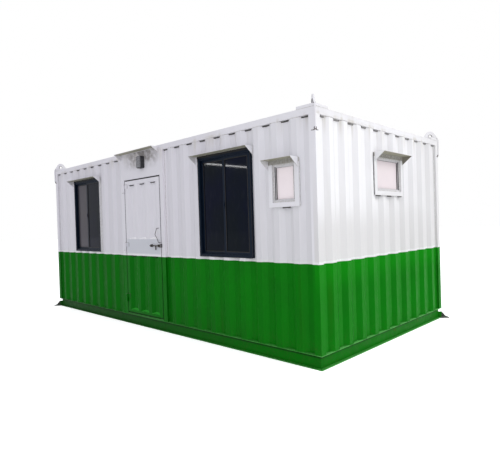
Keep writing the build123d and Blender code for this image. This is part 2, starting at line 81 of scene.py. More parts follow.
# Hoods
WINDOW_HOOD_SIDE = 0.040
WINDOW_HOOD_TOP = 2.322
DOOR_HOOD_LEFT = -0.600
DOOR_HOOD_RIGHT = 0.400
DOOR_HOOD_TOP = 2.575
SMALL_HOOD_RISE = 0.045

# Door, with the lowest and highest levels of the troughs pressed in its leaf
JAMB_LEFT = -0.611
JAMB_RIGHT = 0.495
LEAF_LEFT = -0.515
LEAF_RIGHT = 0.399
LEAF_BOTTOM = 0.175
LEAF_TOP = 2.162
OPENING_TOP = 2.182
SIDE_GAP = 0.008
DOOR_CENTRE = (LEAF_LEFT + LEAF_RIGHT) / 2
HALF_DOOR = (JAMB_RIGHT - JAMB_LEFT) / 2
GAP_MIDDLE = (LEAF_RIGHT - LEAF_LEFT + SIDE_GAP) / 2
UPPER_TROUGH = (1.288, 2.110)
LOWER_TROUGH = (0.218, 1.045)
TROUGH_DEPTH = 0.030
TROUGH_PITCH = 0.278
HINGE_LEVELS = (0.335, 1.115, 1.995)
HINGE_X = -0.519
HINGE_Y = -1.537
BARREL = 0.058
BARREL_GAP = 0.0003
BOLT_LEVEL = 1.195
BOLT_LENGTH = 0.252

# Lamp over the door, and the middle of the soot round it
LAMP_X = -0.012
LAMP_Z = 2.402
SOOT_X = -0.030


# Camera

FOCAL_PIXELS = 441.2
IMAGE_WIDTH = 500
SENSOR = 36.0
CAMERA_PLACE = Vector((5.554, -5.067, 1.460))
CAMERA_YAW = math.radians(44.05)
CAMERA_PITCH = math.radians(-0.65)
CAMERA_ROLL = math.radians(-1.75)


def add_camera():
    forward = Vector((
        -math.sin(CAMERA_YAW) * math.cos(CAMERA_PITCH),
        math.cos(CAMERA_YAW) * math.cos(CAMERA_PITCH),
        math.sin(CAMERA_PITCH),
    ))
    level_right = Vector((math.cos(CAMERA_YAW), math.sin(CAMERA_YAW), 0))
    level_up = level_right.cross(forward)
    right = level_right * math.cos(CAMERA_ROLL) + level_up * math.sin(CAMERA_ROLL)
    up = level_up * math.cos(CAMERA_ROLL) - level_right * math.sin(CAMERA_ROLL)
    data = bpy.data.cameras.new("view")
    data.sensor_fit = "HORIZONTAL"
    data.sensor_width = SENSOR
    data.lens = FOCAL_PIXELS * SENSOR / IMAGE_WIDTH
    data.clip_start = 0.05
    data.clip_end = 200
    camera = bpy.data.objects.new("view", data)
    camera.matrix_world = Matrix((
        (right.x, up.x, -forward.x, CAMERA_PLACE.x),
        (right.y, up.y, -forward.y, CAMERA_PLACE.y),
        (right.z, up.z, -forward.z, CAMERA_PLACE.z),
        (0, 0, 0, 1),
    ))
    scene.collection.objects.link(camera)
    scene.camera = camera


add_camera()
scene.view_settings.view_transform = "Standard"


# Lights and world

def add_area_light(name, place, target, size_x, size_y, power, colour, roll=0.0):
    data = bpy.data.lights.new(name, "AREA")
    data.shape = "RECTANGLE"
    data.size = size_x
    data.size_y = size_y
    data.energy = power
    data.color = colour
    lamp = bpy.data.objects.new(name, data)
    lamp.location = place
    aim = (Vector(target) - Vector(place)).to_track_quat("-Z", "Y")
    lamp.rotation_euler = (aim @ Quaternion((0, 0, 1), roll)).to_euler()
    lamp.visible_camera = False
    scene.collection.objects.link(lamp)


def set_range(node, *limits):
    """Range that a node takes in, and the range that it gives out."""
    for name, limit in zip(("From Min", "From Max", "To Min", "To Max"), limits):
        node.inputs[name].default_value = limit


def build_world():
    """Soft sky that lights the object, and plain white where the world itself is seen."""
    world = bpy.data.worlds.new("studio")
    scene.world = world
    world.use_nodes = True
    tree = world.node_tree
    tree.nodes.clear()
    output = tree.nodes.new("ShaderNodeOutputWorld")
    background = tree.nodes.new("ShaderNodeBackground")
    background.inputs["Color"].default_value = (0.95, 0.95, 1.0, 1)
    coordinates = tree.nodes.new("ShaderNodeTexCoord")
    split = tree.nodes.new("ShaderNodeSeparateXYZ")
    tree.links.new(coordinates.outputs["Generated"], split.inputs[0])
    sky = tree.nodes.new("ShaderNodeMapRange")
    set_range(sky, -0.25, 0.9, 0.30, 0.95)
    tree.links.new(split.outputs[2], sky.inputs["Value"])
    tree.links.new(sky.outputs[0], background.inputs["Strength"])
    shown = tree.nodes.new("ShaderNodeBackground")
    shown.inputs["Color"].default_value = (1, 1, 1, 1)
    shown.inputs["Strength"].default_value = 1.0
    rays = tree.nodes.new("ShaderNodeLightPath")
    seen = tree.nodes.new("ShaderNodeMath")
    seen.operation = "MAXIMUM"
    tree.links.new(rays.outputs["Is Camera Ray"], seen.inputs[0])
    tree.links.new(rays.outputs["Is Glossy Ray"], seen.inputs[1])
    also = tree.nodes.new("ShaderNodeMath")
    also.operation = "MAXIMUM"
    tree.links.new(seen.outputs[0], also.inputs[0])
    tree.links.new(rays.outputs["Is Transmission Ray"], also.inputs[1])
    mix = tree.nodes.new("ShaderNodeMixShader")
    tree.links.new(also.outputs[0], mix.inputs[0])
    tree.links.new(background.outputs[0], mix.inputs[1])
    tree.links.new(shown.outputs[0], mix.inputs[2])
    tree.links.new(mix.outputs[0], output.inputs[0])


build_world()
add_area_light("key", (14.5, 2.4, 10.2), (2.5, 0, 1.2), 9, 7, 960, (1.0, 1.0, 0.99))
add_area_light("fill", (6.0, -13, 6.0), (1.5, -1.5, 1.0), 8, 5, 240, (0.96, 0.95, 1.0))
add_area_light("back", (-8, 11, 8), (0, 0, 1.3), 8, 6, 300, (1, 1, 1))
# A narrow tube, which the panes of the right window mirror as light streaks
add_area_light("tube", (-5.93, -8.65, 3.565), (-5.93, -1.5, 3.565), 2.4, 0.04, 20, (1, 1, 1), -0.175)


# Material helpers

class Shader:
    """Builds one node material; places and sizes in it are metres in the frame at rest."""

    def __init__(self, name):
        self.material = bpy.data.materials.new(name)
        self.material.use_nodes = True
        self.tree = self.material.node_tree
        self.tree.nodes.clear()
        self.output = self.new("OutputMaterial")
        self.surface = self.new("BsdfPrincipled")
        self.tree.links.new(self.surface.outputs[0], self.output.inputs[0])
        coordinates = self.new("TexCoord")
        self.place = coordinates.outputs["Object"]
        split = self.new("SeparateXYZ")
        self.tree.links.new(self.place, split.inputs[0])
        self.x, self.y, self.z = split.outputs

    def new(self, kind):
        return self.tree.nodes.new("ShaderNode" + kind)

    def feed(self, socket, value):
        if isinstance(value, bpy.types.NodeSocket):
            self.tree.links.new(value, socket)
        else:
            socket.default_value = value

    def math(self, operation, first, second=0.0, third=0.0):
        node = self.new("Math")
        node.operation = operation
        self.feed(node.inputs[0], first)
        self.feed(node.inputs[1], second)
        self.feed(node.inputs[2], third)
        return node.outputs[0]

    def times(self, product, *factors):
        for factor in factors:
            product = self.math("MULTIPLY", product, factor)
        return product

    def most(self, first, second):
        return self.math("MAXIMUM", first, second)

    def size(self, value):
        return self.math("ABSOLUTE", value)

    def ramp(self, value, low, high, out_low=0.0, out_high=1.0):
        """Smooth step from out_low at low to out_high at high."""
        node = self.new("MapRange")
        node.interpolation_type = "SMOOTHSTEP"
        set_range(node, low, high, out_low, out_high)
        self.feed(node.inputs["Value"], value)
        return node.outputs[0]

    def fade(self, value, low, high):
        """1 up to low, and 0 from high on."""
        return self.ramp(value, low, high, 1.0, 0.0)

    def band(self, value, rise, fall):
        """1 between two edges; each edge is the start and end of its step."""
        return self.times(self.ramp(value, *rise), self.fade(value, *fall))

    def scaled(self, factors):
        node = self.new("Mapping")
        node.inputs["Scale"].default_value = factors
        self.tree.links.new(self.place, node.inputs["Vector"])
        return node.outputs[0]

    def noise(self, scale, detail, stretch=None):
        node = self.new("TexNoise")
        node.inputs["Scale"].default_value = scale
        node.inputs["Detail"].default_value = detail
        node.inputs["Roughness"].default_value = 0.55
        self.tree.links.new(self.scaled(stretch) if stretch else self.place, node.inputs["Vector"])
        return node.outputs[0]

    def mix(self, factor, first, second, blend="MIX"):
        node = self.new("Mix")
        node.data_type = "RGBA"
        node.blend_type = blend
        self.feed(node.inputs["Factor"], factor)
        for socket, value in ((node.inputs[6], first), (node.inputs[7], second)):
            self.feed(socket, value if isinstance(value, bpy.types.NodeSocket) else (*value, 1.0))
        return node.outputs[2]

    def normal_parts(self):
        """Parts of the face normal along x, y and z."""
        geometry = self.new("NewGeometry")
        split = self.new("SeparateXYZ")
        self.tree.links.new(geometry.outputs["Normal"], split.inputs[0])
        return split.outputs

    def bump(self, height, strength, distance):
        """Adds a bump on top of those that are there already."""
        node = self.new("Bump")
        node.inputs["Strength"].default_value = strength
        node.inputs["Distance"].default_value = distance
        self.feed(node.inputs["Height"], height)
        previous = self.surface.inputs["Normal"]
        if previous.is_linked:
            self.tree.links.new(previous.links[0].from_socket, node.inputs["Normal"])
        self.tree.links.new(node.outputs[0], previous)

    def set(self, **values):
        for name, value in values.items():
            socket = self.surface.inputs[name.replace("_", " ")]
            if not isinstance(value, bpy.types.NodeSocket) and socket.type == "RGBA":
                value = (*value, 1.0)
            self.feed(socket, value)

    def set_gloss(self, level):
        self.surface.inputs["Specular IOR Level"].default_value = level


# Enamel of the walls, the frame and the base

WHITE = (0.80, 0.80, 0.81)
GREEN = (0.002, 0.180, 0.003)
HOOD_SHADE = (0.34, 0.33, 0.26)


class Enamel(Shader):
    """Brushed and sprayed gloss enamel, with the noises and masks that its coats share."""

    def __init__(self, name):
        super().__init__(name)
        self.cloud = self.noise(1.6, 4.0)
        self.streak = self.noise(5.0, 4.0, stretch=(1.6, 1.6, 0.10))
        self.fine = self.noise(46.0, 4.0)
        self.front = self.fade(self.y, -1.46, -1.42)
        self.at_end = self.ramp(self.x, 2.99, 3.0)

    def finish(self, colour):
        self.set(Base_Color=colour, Roughness=self.ramp(self.noise(14.0, 3.0), 0.3, 0.7, 0.38, 0.54))
        self.set_gloss(0.04)
        self.bump(self.noise(260.0, 2.0), 0.05, 0.001)
        self.bump(self.noise(3.2, 2.0), 0.12, 0.004)
        return self.material


def white_coat(m):
    """White with rain streaks, grime under the top rail, soot over the door, painted shade on the front and
    the end, and a painted highlight along the paint line.
    """
    white = m.mix(m.ramp(m.cloud, 0.35, 0.7), WHITE, (0.76, 0.755, 0.765))
    white = m.mix(m.ramp(m.streak, 0.56, 0.80, 0.0, 0.30), white, (0.60, 0.585, 0.56))
    # Painted shade: the front is bluer and darker toward its left, and the right end darker low down and at
    # the back
    white = m.mix(m.times(m.front, 0.6), white, (0.77, 0.765, 0.80))
    white = m.mix(m.times(m.front, m.ramp(m.x, 2.6, 0.6, 0.0, 0.75)), white, (0.685, 0.672, 0.715))
    painted_end_shade = m.most(m.ramp(m.z, 2.10, 1.20, 0.0, 0.95), m.ramp(m.y, 0.5, 1.3, 0.0, 0.6))
    white = m.mix(m.times(m.at_end, painted_end_shade), white, (0.69, 0.685, 0.68))
    grime = m.times(m.ramp(m.z, 2.30, 2.53), m.ramp(m.streak, 0.48, 0.72, 0.0, 0.45))
    grime = m.times(grime, m.ramp(m.z, 2.535, 2.56, 1.0, 0.15))
    white = m.mix(grime, white, (0.50, 0.46, 0.37))
    aside = m.size(m.math("SUBTRACT", m.x, SOOT_X))
    soot = m.times(m.fade(aside, 0.20, 0.52), m.ramp(m.z, 2.28, 2.46))
    soot = m.times(soot, m.fade(m.z, DOOR_HOOD_TOP - 0.010, DOOR_HOOD_TOP - 0.005))
    speckle = m.ramp(m.noise(12.0, 4.0), 0.34, 0.62, 0.20, 1.0)
    white = m.mix(m.times(soot, m.times(m.front, speckle)), white, (0.30, 0.285, 0.28))
    # A painted highlight, a lighter white, lies along the paint line
    painted_line_highlight = m.times(m.fade(m.z, PAINT_LINE + 0.022, PAINT_LINE + 0.028), m.ramp(m.fine, 0.3, 0.6, 0.5, 0.9))
    return m.mix(painted_line_highlight, white, (0.82, 0.82, 0.825))


def green_coat(m):
    """Green with streaks, splashed near the ground, with painted shade along the front and a painted
    highlight at the top of the end's green.
    """
    green = m.mix(m.ramp(m.cloud, 0.3, 0.7), GREEN, (0.003, 0.150, 0.004))
    green = m.mix(m.ramp(m.streak, 0.55, 0.8, 0.0, 0.45), green, (0.014, 0.125, 0.003))
    splash = m.times(m.fade(m.z, 0.10, 0.42), m.ramp(m.fine, 0.45, 0.75, 0.0, 0.4))
    green = m.mix(splash, green, (0.045, 0.105, 0.020))
    # Painted shade darkens the green of the front toward its left
    green = m.mix(m.times(m.front, m.ramp(m.x, 2.4, -1.5, 0.0, 0.5)), green, (0.002, 0.095, 0.004))
    # Painted highlight brightens the top of the green on the right end
    return m.mix(m.times(m.at_end, m.ramp(m.z, 0.70, 1.0, 0.0, 0.8)), green, (0.004, 0.235, 0.004))


def base_paint():
    """Green of the base, with rust, mud, bare lashing plates, and painted shade and highlights."""
    m = Enamel("base_paint_look")
    rust = m.times(m.ramp(m.noise(7.0, 5.0), 0.60, 0.76), m.ramp(m.fine, 0.42, 0.6, 0.0, 0.5))
    colour = m.mix(rust, green_coat(m), (0.10, 0.065, 0.02))
    # A painted shadow lies under the top flange
    web_top = BEAM_HEIGHT - FLANGE
    painted_flange_shadow = m.band(m.z, (0.100, 0.120), (web_top - 0.0005, web_top))
    colour = m.mix(m.times(painted_flange_shadow, 0.85), colour, (0.002, 0.028, 0.003))
    # Painted highlights lie along the edges of the flanges, strongest at the right end
    top_edge = m.ramp(m.z, web_top + 0.0002, web_top + 0.0010)
    painted_edge_highlight = m.most(top_edge, m.fade(m.z, FLANGE - 0.0005, FLANGE + 0.0005))
    highlight_strength = m.math("MULTIPLY_ADD", m.at_end, 0.40, m.ramp(m.fine, 0.3, 0.6, 0.28, 0.6))
    colour = m.mix(m.times(painted_edge_highlight, highlight_strength), colour, (0.115, 0.44, 0.105))
    # Painted shade darkens the front beam, most at its far end
    painted_front_shade = m.times(m.ramp(m.x, 2.4, -1.2, 0.10, 0.68), m.front)
    colour = m.mix(painted_front_shade, colour, (0.010, 0.042, 0.009))
    # The lashing plates outside the beams are worn to bare dark steel
    beyond_end = m.ramp(m.size(m.x), HALF_LENGTH + 0.0005, HALF_LENGTH + 0.0015)
    beyond_side = m.ramp(m.size(m.y), HALF_WIDTH + 0.0005, HALF_WIDTH + 0.0015)
    worn = m.mix(m.ramp(m.fine, 0.35, 0.65), (0.028, 0.036, 0.026), (0.10, 0.105, 0.09))
    lying = m.ramp(m.z, LASHING_PLATE - 0.0005, LASHING_PLATE + 0.0005, 0.7, 0.0)
    worn = m.mix(lying, worn, (0.26, 0.27, 0.25))
    return m.finish(m.mix(m.most(beyond_end, beyond_side), colour, worn))


def recess_light_and_lock_rail_dirt(m, white, across):
    """Painted light brightens the recess beside the right jamb, and hands have dulled the lock rail of the
    door.
    """
    painted_recess_light = m.band(m.x, (JAMB_RIGHT - 0.0006, JAMB_RIGHT - 0.0001), (JAMB_RIGHT + 0.020, JAMB_RIGHT + 0.050))
    white = m.mix(m.times(painted_recess_light, m.front), white, (0.82, 0.80, 0.84))
    rise = (LOWER_TROUGH[1] + 0.030, LOWER_TROUGH[1] + 0.035)
    lock_rail = m.band(m.z, rise, (UPPER_TROUGH[0] - 0.004, UPPER_TROUGH[0]))
    lock_rail = m.times(lock_rail, m.ramp(across, 0.420, 0.450, 0.9, 0.0), m.front)
    return m.mix(lock_rail, white, (0.575, 0.590, 0.630))


def shade_front_ribs(m, white, green, across, facing_x):
    """Painted shade darkens the front ribs, apart from their flanks that face the right end, which are
    painted lighter in the green; the shade is deepest low down.
    """
    on_sheet = m.times(m.ramp(across, HALF_DOOR + 0.0005, HALF_DOOR + 0.0015), m.front)
    on_sheet = m.times(on_sheet, m.fade(m.size(m.x), POST_LINE_X - 0.001, POST_LINE_X))
    flank = m.times(on_sheet, m.ramp(facing_x, 0.25, 0.45))
    painted_rib_shade = m.math("SUBTRACT", on_sheet, flank)
    white = m.mix(painted_rib_shade, white, (0.93, 0.93, 0.93), "MULTIPLY")
    green = m.mix(painted_rib_shade, green, (0.88, 0.91, 0.88), "MULTIPLY")
    green = m.mix(m.times(flank, 0.35), green, (0.010, 0.200, 0.010))
    low = m.times(m.ramp(m.z, 1.90, 1.20), m.ramp(m.x, 0.6, 2.2))
    white = m.mix(m.times(on_sheet, low), white, (0.935, 0.935, 0.93), "MULTIPLY")
    return white, green


def shade_end_ribs(m, white, green, facing_x, facing_y):
    """On the right end painted shade lies on the flanks that face the front, most at the back, and painted
    light on the flat faces toward the front.
    """
    near = m.ramp(m.y, 0.8, -1.0)
    flank = m.times(m.at_end, m.fade(facing_y, -0.40, -0.25))
    flank = m.times(flank, m.math("SUBTRACT", 1.0, near))
    white = m.mix(flank, white, (0.92, 0.92, 0.92), "MULTIPLY")
    flat = m.times(m.at_end, m.ramp(facing_x, 0.95, 0.98))
    painted_end_light = m.times(flat, near, m.ramp(m.z, 1.35, 1.70, 0.0, 0.7))
    white = m.mix(painted_end_light, white, (0.88, 0.88, 0.885))
    green = m.mix(m.times(flat, 0.5), green, (0.012, 0.225, 0.011))
    return white, green


def door_gap_shade(m, across):
    """Mask of a painted shadow in the gaps along the two sides and the foot of the door."""
    from_gap = m.size(m.math("SUBTRACT", across, GAP_MIDDLE))
    sides = m.times(m.fade(from_gap, 0.007, 0.012), m.fade(m.z, OPENING_TOP, OPENING_TOP + 0.004))
    foot = m.fade(m.z, LEAF_BOTTOM + 0.007, LEAF_BOTTOM + 0.013)
    foot = m.times(foot, m.fade(across, GAP_MIDDLE, GAP_MIDDLE + 0.004))
    line = m.times(m.most(sides, foot), m.front)
    line = m.times(line, m.ramp(m.y, -HALF_WIDTH - 0.0006, -HALF_WIDTH - 0.0002))
    return m.times(line, m.ramp(m.fine, 0.3, 0.6, 0.42, 0.70))


def wall_paint():
    """White above the paint line and green below it."""
    m = Enamel("wall_paint_look")
    facing_x, facing_y, facing_z = m.normal_parts()
    across = m.size(m.math("SUBTRACT", m.x, DOOR_CENTRE))
    # Painted light brightens the faces on the front that turn up to the sky
    painted_sky_light = m.times(m.ramp(facing_z, 0.25, 0.60), m.front)
    white = m.mix(painted_sky_light, white_coat(m), (0.90, 0.90, 0.905))
    green = m.mix(painted_sky_light, green_coat(m), (0.030, 0.34, 0.030))
    white = recess_light_and_lock_rail_dirt(m, white, across)
    white, green = shade_front_ribs(m, white, green, across, facing_x)
    white, green = shade_end_ribs(m, white, green, facing_x, facing_y)
    # Painted shadow along the gaps of the door
    line = door_gap_shade(m, across)
    white = m.mix(line, white, (0.075, 0.070, 0.085))
    green = m.mix(line, green, (0.001, 0.016, 0.001))
    waver = m.math("MULTIPLY_ADD", m.noise(9.0, 2.0), 0.006, -0.003)
    level = m.math("ADD", m.z, waver)
    return m.finish(m.mix(m.ramp(level, PAINT_LINE - 0.001, PAINT_LINE + 0.001), green, white))


def strip_under_hood(m, beside, sill):
    """Mask of the strip of surround between a small window and its hood."""
    window_top = sill + SMALL_HIGH
    hood_top = window_top + SMALL_HOOD_RISE
    strip = m.times(beside, m.ramp(m.z, window_top - 0.006, window_top + 0.002))
    return m.times(strip, m.fade(m.z, hood_top - 0.0035, hood_top - 0.0030))


def shade_hoods(m, colour):
    """Painted shade on the undersides of the hoods, on the inner face of the end hood's far cheek and on the
    strips of surround that the small hoods cover.
    """
    _, facing_y, facing_z = m.normal_parts()
    proud_front = m.fade(m.y, -HALF_WIDTH - 0.005, -HALF_WIDTH - 0.004)
    proud = m.most(proud_front, m.ramp(m.x, HALF_LENGTH + 0.004, HALF_LENGTH + 0.005))
    under = m.times(m.fade(facing_z, -0.9, -0.5), proud, m.fade(m.z, HEIGHT + 0.009, HEIGHT + 0.014))
    colour = m.mix(under, colour, HOOD_SHADE)
    # Painted shade also darkens the inner face of the end hood's far cheek
    cheek_inside = END_SMALL_CENTRE + END_SMALL_WIDTH / 2 + SURROUND - 0.012
    cheek = m.ramp(m.x, HALF_LENGTH + SURROUND_FACE + 0.001, HALF_LENGTH + SURROUND_FACE + 0.002)
    cheek = m.times(cheek, m.ramp(m.y, cheek_inside, cheek_inside + 0.005), m.fade(facing_y, -0.9, -0.5))
    colour = m.mix(cheek, colour, (0.27, 0.26, 0.215))
    # Painted shade on the strips of surround between the small windows and their hoods
    end_strip = strip_under_hood(m, m.ramp(m.x, HALF_LENGTH + 0.002, HALF_LENGTH + 0.004), END_SMALL_SILL)
    end_face = HALF_LENGTH + SURROUND_FACE
    end_strip = m.times(end_strip, m.fade(m.x, end_face + 0.0002, end_face + 0.0006))
    hood_left = FRONT_SMALL_CENTRE - FRONT_SMALL_WIDTH / 2 - SURROUND
    front_strip = strip_under_hood(m, m.ramp(m.x, hood_left - 0.010, hood_left - 0.005), FRONT_SMALL_SILL)
    front_strip = m.times(front_strip, m.fade(m.y, -HALF_WIDTH - 0.004, -HALF_WIDTH - 0.002))
    front_face = -HALF_WIDTH - SURROUND_FACE
    front_strip = m.times(front_strip, m.ramp(m.y, front_face - 0.0006, front_face - 0.0002))
    strip = m.times(m.most(end_strip, front_strip), m.ramp(m.fine, 0.3, 0.6, 0.65, 0.95))
    return m.mix(strip, colour, (0.30, 0.29, 0.25))


def wear_lifting_holes(m, colour):
    """Shackles have worn the lifting holes to bare dark steel."""
    reach = m.math("ADD", m.size(m.x), m.size(m.y))
    reach = m.math("SUBTRACT", reach, HALF_LENGTH + HALF_WIDTH)
    reach = m.math("MULTIPLY_ADD", reach, math.sqrt(0.5), HOLE_INSET)
    rise = m.math("SUBTRACT", m.z, HEIGHT + HOLE_RISE)
    spread = m.math("SQRT", m.math("ADD", m.times(reach, reach), m.times(rise, rise)))
    return m.mix(m.ramp(spread, 0.0260, 0.0310, 0.92, 0.0), colour, (0.020, 0.020, 0.024))


def white_paint():
    """White of the top rails, roof, hoods, surrounds and lifting lugs."""
    m = Enamel("white_paint_look")
    return m.finish(wear_lifting_holes(m, shade_hoods(m, white_coat(m))))


# Other materials

def plain_material(name, colour, other, roughness, metallic=0.0, scale=40.0, bump=0.1, level=0.25):
    """Two tones clouded together, with a fine bump."""
    m = Shader(name)
    m.set_gloss(level)
    m.set(
        Base_Color=m.mix(m.ramp(m.noise(scale, 3.0), 0.35, 0.65), colour, other),
        Roughness=m.ramp(m.noise(scale * 1.7, 3.0), 0.3, 0.7, roughness * 0.85, roughness * 1.15),
        Metallic=metallic,
    )
    m.bump(m.noise(scale * 6, 2.0), bump, 0.0008)
    return m.material


def glass_material(name, colour, other, roughness, level, left_dusty=False, painted_light_front_colour=None):
    """Tinted or frosted glass, in the left window filmed with dust, most on its slid pane, and painted
    lighter on the front as painted light.
    """
    m = Shader(name)
    tint = m.mix(m.ramp(m.noise(2.0, 2.0), 0.3, 0.7), colour, other)
    film = m.ramp(m.noise(30.0, 4.0, stretch=(1.0, 1.0, 0.25)), 0.5, 0.8, 0.0, 0.018)
    tint = m.mix(film, tint, (0.30, 0.29, 0.28))
    # Painted light brightens the frosted pane on the front
    if painted_light_front_colour:
        tint = m.mix(m.fade(m.y, -1.45, -1.40), tint, painted_light_front_colour)
    if left_dusty:
        right_edge = LEFT_CENTRE + WINDOW_WIDTH / 2
        left_pane = m.fade(m.x, LEFT_CENTRE + 0.005, LEFT_CENTRE + 0.010)
        left_window = m.fade(m.x, right_edge - 0.012, right_edge - 0.002)
        tint = m.mix(m.times(left_window, 0.022), tint, (0.26, 0.25, 0.26))
        tint = m.mix(m.times(left_pane, 0.25), tint, (0.34, 0.31, 0.33))
    m.set(Base_Color=tint, Roughness=roughness)
    m.set_gloss(level)
    return m.material


def floor_material():
    """Pale floor that looks white where nothing shades it."""
    m = Shader("studio_floor")
    tree = m.tree
    m.set(Base_Color=m.mix(m.noise(0.6, 2.0), (0.90, 0.90, 0.90), (0.92, 0.92, 0.92)), Roughness=0.9)
    m.set_gloss(0.0)
    glow = tree.nodes.new("ShaderNodeEmission")
    glow.inputs["Color"].default_value = (1, 1, 1, 1)
    rays = tree.nodes.new("ShaderNodeLightPath")
    seen = m.most(rays.outputs["Is Camera Ray"], rays.outputs["Is Glossy Ray"])
    seen = m.most(seen, rays.outputs["Is Transmission Ray"])
    m.feed(glow.inputs["Strength"], m.times(seen, 0.55))
    add = tree.nodes.new("ShaderNodeAddShader")
    tree.links.new(m.surface.outputs[0], add.inputs[0])
    tree.links.new(glow.outputs[0], add.inputs[1])
    tree.links.new(add.outputs[0], m.output.inputs[0])
    return m.material


materials = {
    "wall_paint": wall_paint(),
    "white_paint": white_paint(),
    "base_paint": base_paint(),
    "floor_board": plain_material("floor_board_look", (0.33, 0.24, 0.17), (0.27, 0.19, 0.13), 0.5),
    "black_aluminium": plain_material(
        "black_aluminium_look", (0.004, 0.009, 0.020), (0.006, 0.012, 0.024), 0.4, level=0.07),
    "grey_aluminium": plain_material("grey_aluminium_look", (0.68, 0.67, 0.68), (0.60, 0.59, 0.60), 0.4),
    "dark_glass": glass_material(
        "dark_glass_look", (0.002, 0.004, 0.015), (0.003, 0.006, 0.010), 0.035, 0.05, left_dusty=True),
    "frosted_glass": glass_material(
        "frosted_glass_look", (0.80, 0.72, 0.735), (0.77, 0.695, 0.71), 0.45, 0.3,
        painted_light_front_colour=(0.96, 0.875, 0.885)),
    "bolt_steel": plain_material(
        "bolt_steel_look", (0.10, 0.095, 0.09), (0.06, 0.05, 0.045), 0.5, 0.6, 90.0, 0.3),
    "lamp_plastic": plain_material("lamp_plastic_look", (0.05, 0.05, 0.055), (0.035, 0.035, 0.04), 0.5),
    "lamp_lens": plain_material("lamp_lens_look", (0.21, 0.21, 0.225), (0.15, 0.15, 0.16), 0.3),
}

for sub_part in frame["record"]["subparts"]:
    node = nodes[sub_part["node"]]
    node.material_slots[0].material = materials[sub_part["material_slot"]]

looks = {
    "seal": plain_material(
        "rubber_seal_look", (0.006, 0.006, 0.007), (0.014, 0.013, 0.013), 0.6, 0.0, 60.0, 0.2),
    # Dark beads that stand in for shade, darker on the sides and greyer on the lit ends
    "side_sealant": plain_material(
        "side_sealant_look", (0.045, 0.043, 0.043), (0.10, 0.095, 0.09), 0.6, 0.0, 60.0, 0.2),
    "end_sealant": plain_material(
        "end_sealant_look", (0.19, 0.185, 0.18), (0.34, 0.33, 0.32), 0.6, 0.0, 60.0, 0.2),
    "weld": plain_material(
        "painted_weld_look", (0.70, 0.70, 0.705), (0.50, 0.48, 0.45), 0.45, 0.0, 70.0, 0.4),
    "green_weld": plain_material(
        "green_weld_look", (0.020, 0.24, 0.020), (0.012, 0.14, 0.012), 0.5, 0.0, 70.0, 0.4, 0.05),
    "bare_weld": plain_material(
        "bare_weld_look", (0.045, 0.040, 0.042), (0.115, 0.090, 0.088), 0.6, 0.3, 80.0, 0.5),
    "steel": plain_material("fixing_steel_look", (0.30, 0.30, 0.31), (0.20, 0.18, 0.16), 0.4, 0.8, 90.0, 0.2),
    "trim": plain_material("white_trim_look", (0.74, 0.74, 0.745), (0.66, 0.655, 0.65), 0.4, 0.0, 30.0, 0.1),
    "lining": plain_material("lining_trim_look", (0.55, 0.53, 0.50), (0.48, 0.46, 0.43), 0.5, 0.0, 20.0, 0.1),
}


# Geometry helpers

rng = random.Random(7)
# Six even places across a trough or the lamp, from one side to the other
SHARES = (-1, -0.6, -0.2, 0.2, 0.6, 1)


class Wall:
    """Outer face of a wall: places on it are given along, up and outward."""

    def __init__(self, origin, along, outward, pitch):
        self.origin = Vector(origin)
        self.along = Vector(along)
        self.outward = Vector(outward)
        self.pitch = pitch

    def at(self, along, up, out):
        return self.origin + self.along * along + self.outward * out + Vector((0, 0, up))

    def depth(self, along):
        """How far the ribbed sheet lies behind the outer face."""
        offset = abs((along + self.pitch / 2) % self.pitch - self.pitch / 2)
        slope = (self.pitch - 2 * SHEET_FLAT) / 2
        return SHEET_DEPTH * min(1.0, max(0.0, (SHEET_FLAT / 2 + slope - offset) / slope))


FRONT = Wall((0, -HALF_WIDTH, 0), (1, 0, 0), (0, -1, 0), SIDE_PITCH)
BACK = Wall((0, HALF_WIDTH, 0), (-1, 0, 0), (0, 1, 0), SIDE_PITCH)
RIGHT = Wall((HALF_LENGTH, 0, 0), (0, 1, 0), (1, 0, 0), END_PITCH)
LEFT = Wall((-HALF_LENGTH, 0, 0), (0, -1, 0), (-1, 0, 0), END_PITCH)


def finish_piece(name, mesh_builder, look, body="cabin"):
    mesh = bpy.data.meshes.new(name)
    bmesh.ops.recalc_face_normals(mesh_builder, faces=mesh_builder.faces)
    mesh_builder.to_mesh(mesh)
    mesh_builder.free()
    piece = bpy.data.objects.new(name, mesh)
    piece.data.materials.append(looks[look] if look in looks else materials[look])
    scene.collection.objects.link(piece)
    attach(piece, body)


def turns(sides, first=0.0):
    """Angles of evenly spaced places round a circle."""
    return [2 * math.pi * step / sides + first for step in range(sides)]


def join_rings(builder, near, far):
    """Faces between two rings of as many vertices."""
    for step in range(len(near)):
        other = (step + 1) % len(near)
        builder.faces.new((near[step], near[other], far[other], far[step]))


def add_tube(builder, points, radius, sides, wobble=0.0):
    """Closed tube along a line of points, a weld bead when it wobbles."""
    rings = []
    for index, point in enumerate(points):
        before = points[max(index - 1, 0)]
        after = points[min(index + 1, len(points) - 1)]
        heading = (after - before).normalized()
        helper = Vector((0, 0, 1)) if abs(heading.z) < 0.9 else Vector((1, 0, 0))
        first = heading.cross(helper).normalized()
        second = heading.cross(first)
        size = radius * (1 + wobble * rng.uniform(-1, 1))
        rings.append([
            builder.verts.new(point + (first * math.cos(turn) + second * math.sin(turn)) * size)
            for turn in turns(sides)
        ])
    for near, far in zip(rings, rings[1:]):
        join_rings(builder, near, far)
    builder.faces.new(rings[0][::-1])
    builder.faces.new(rings[-1])


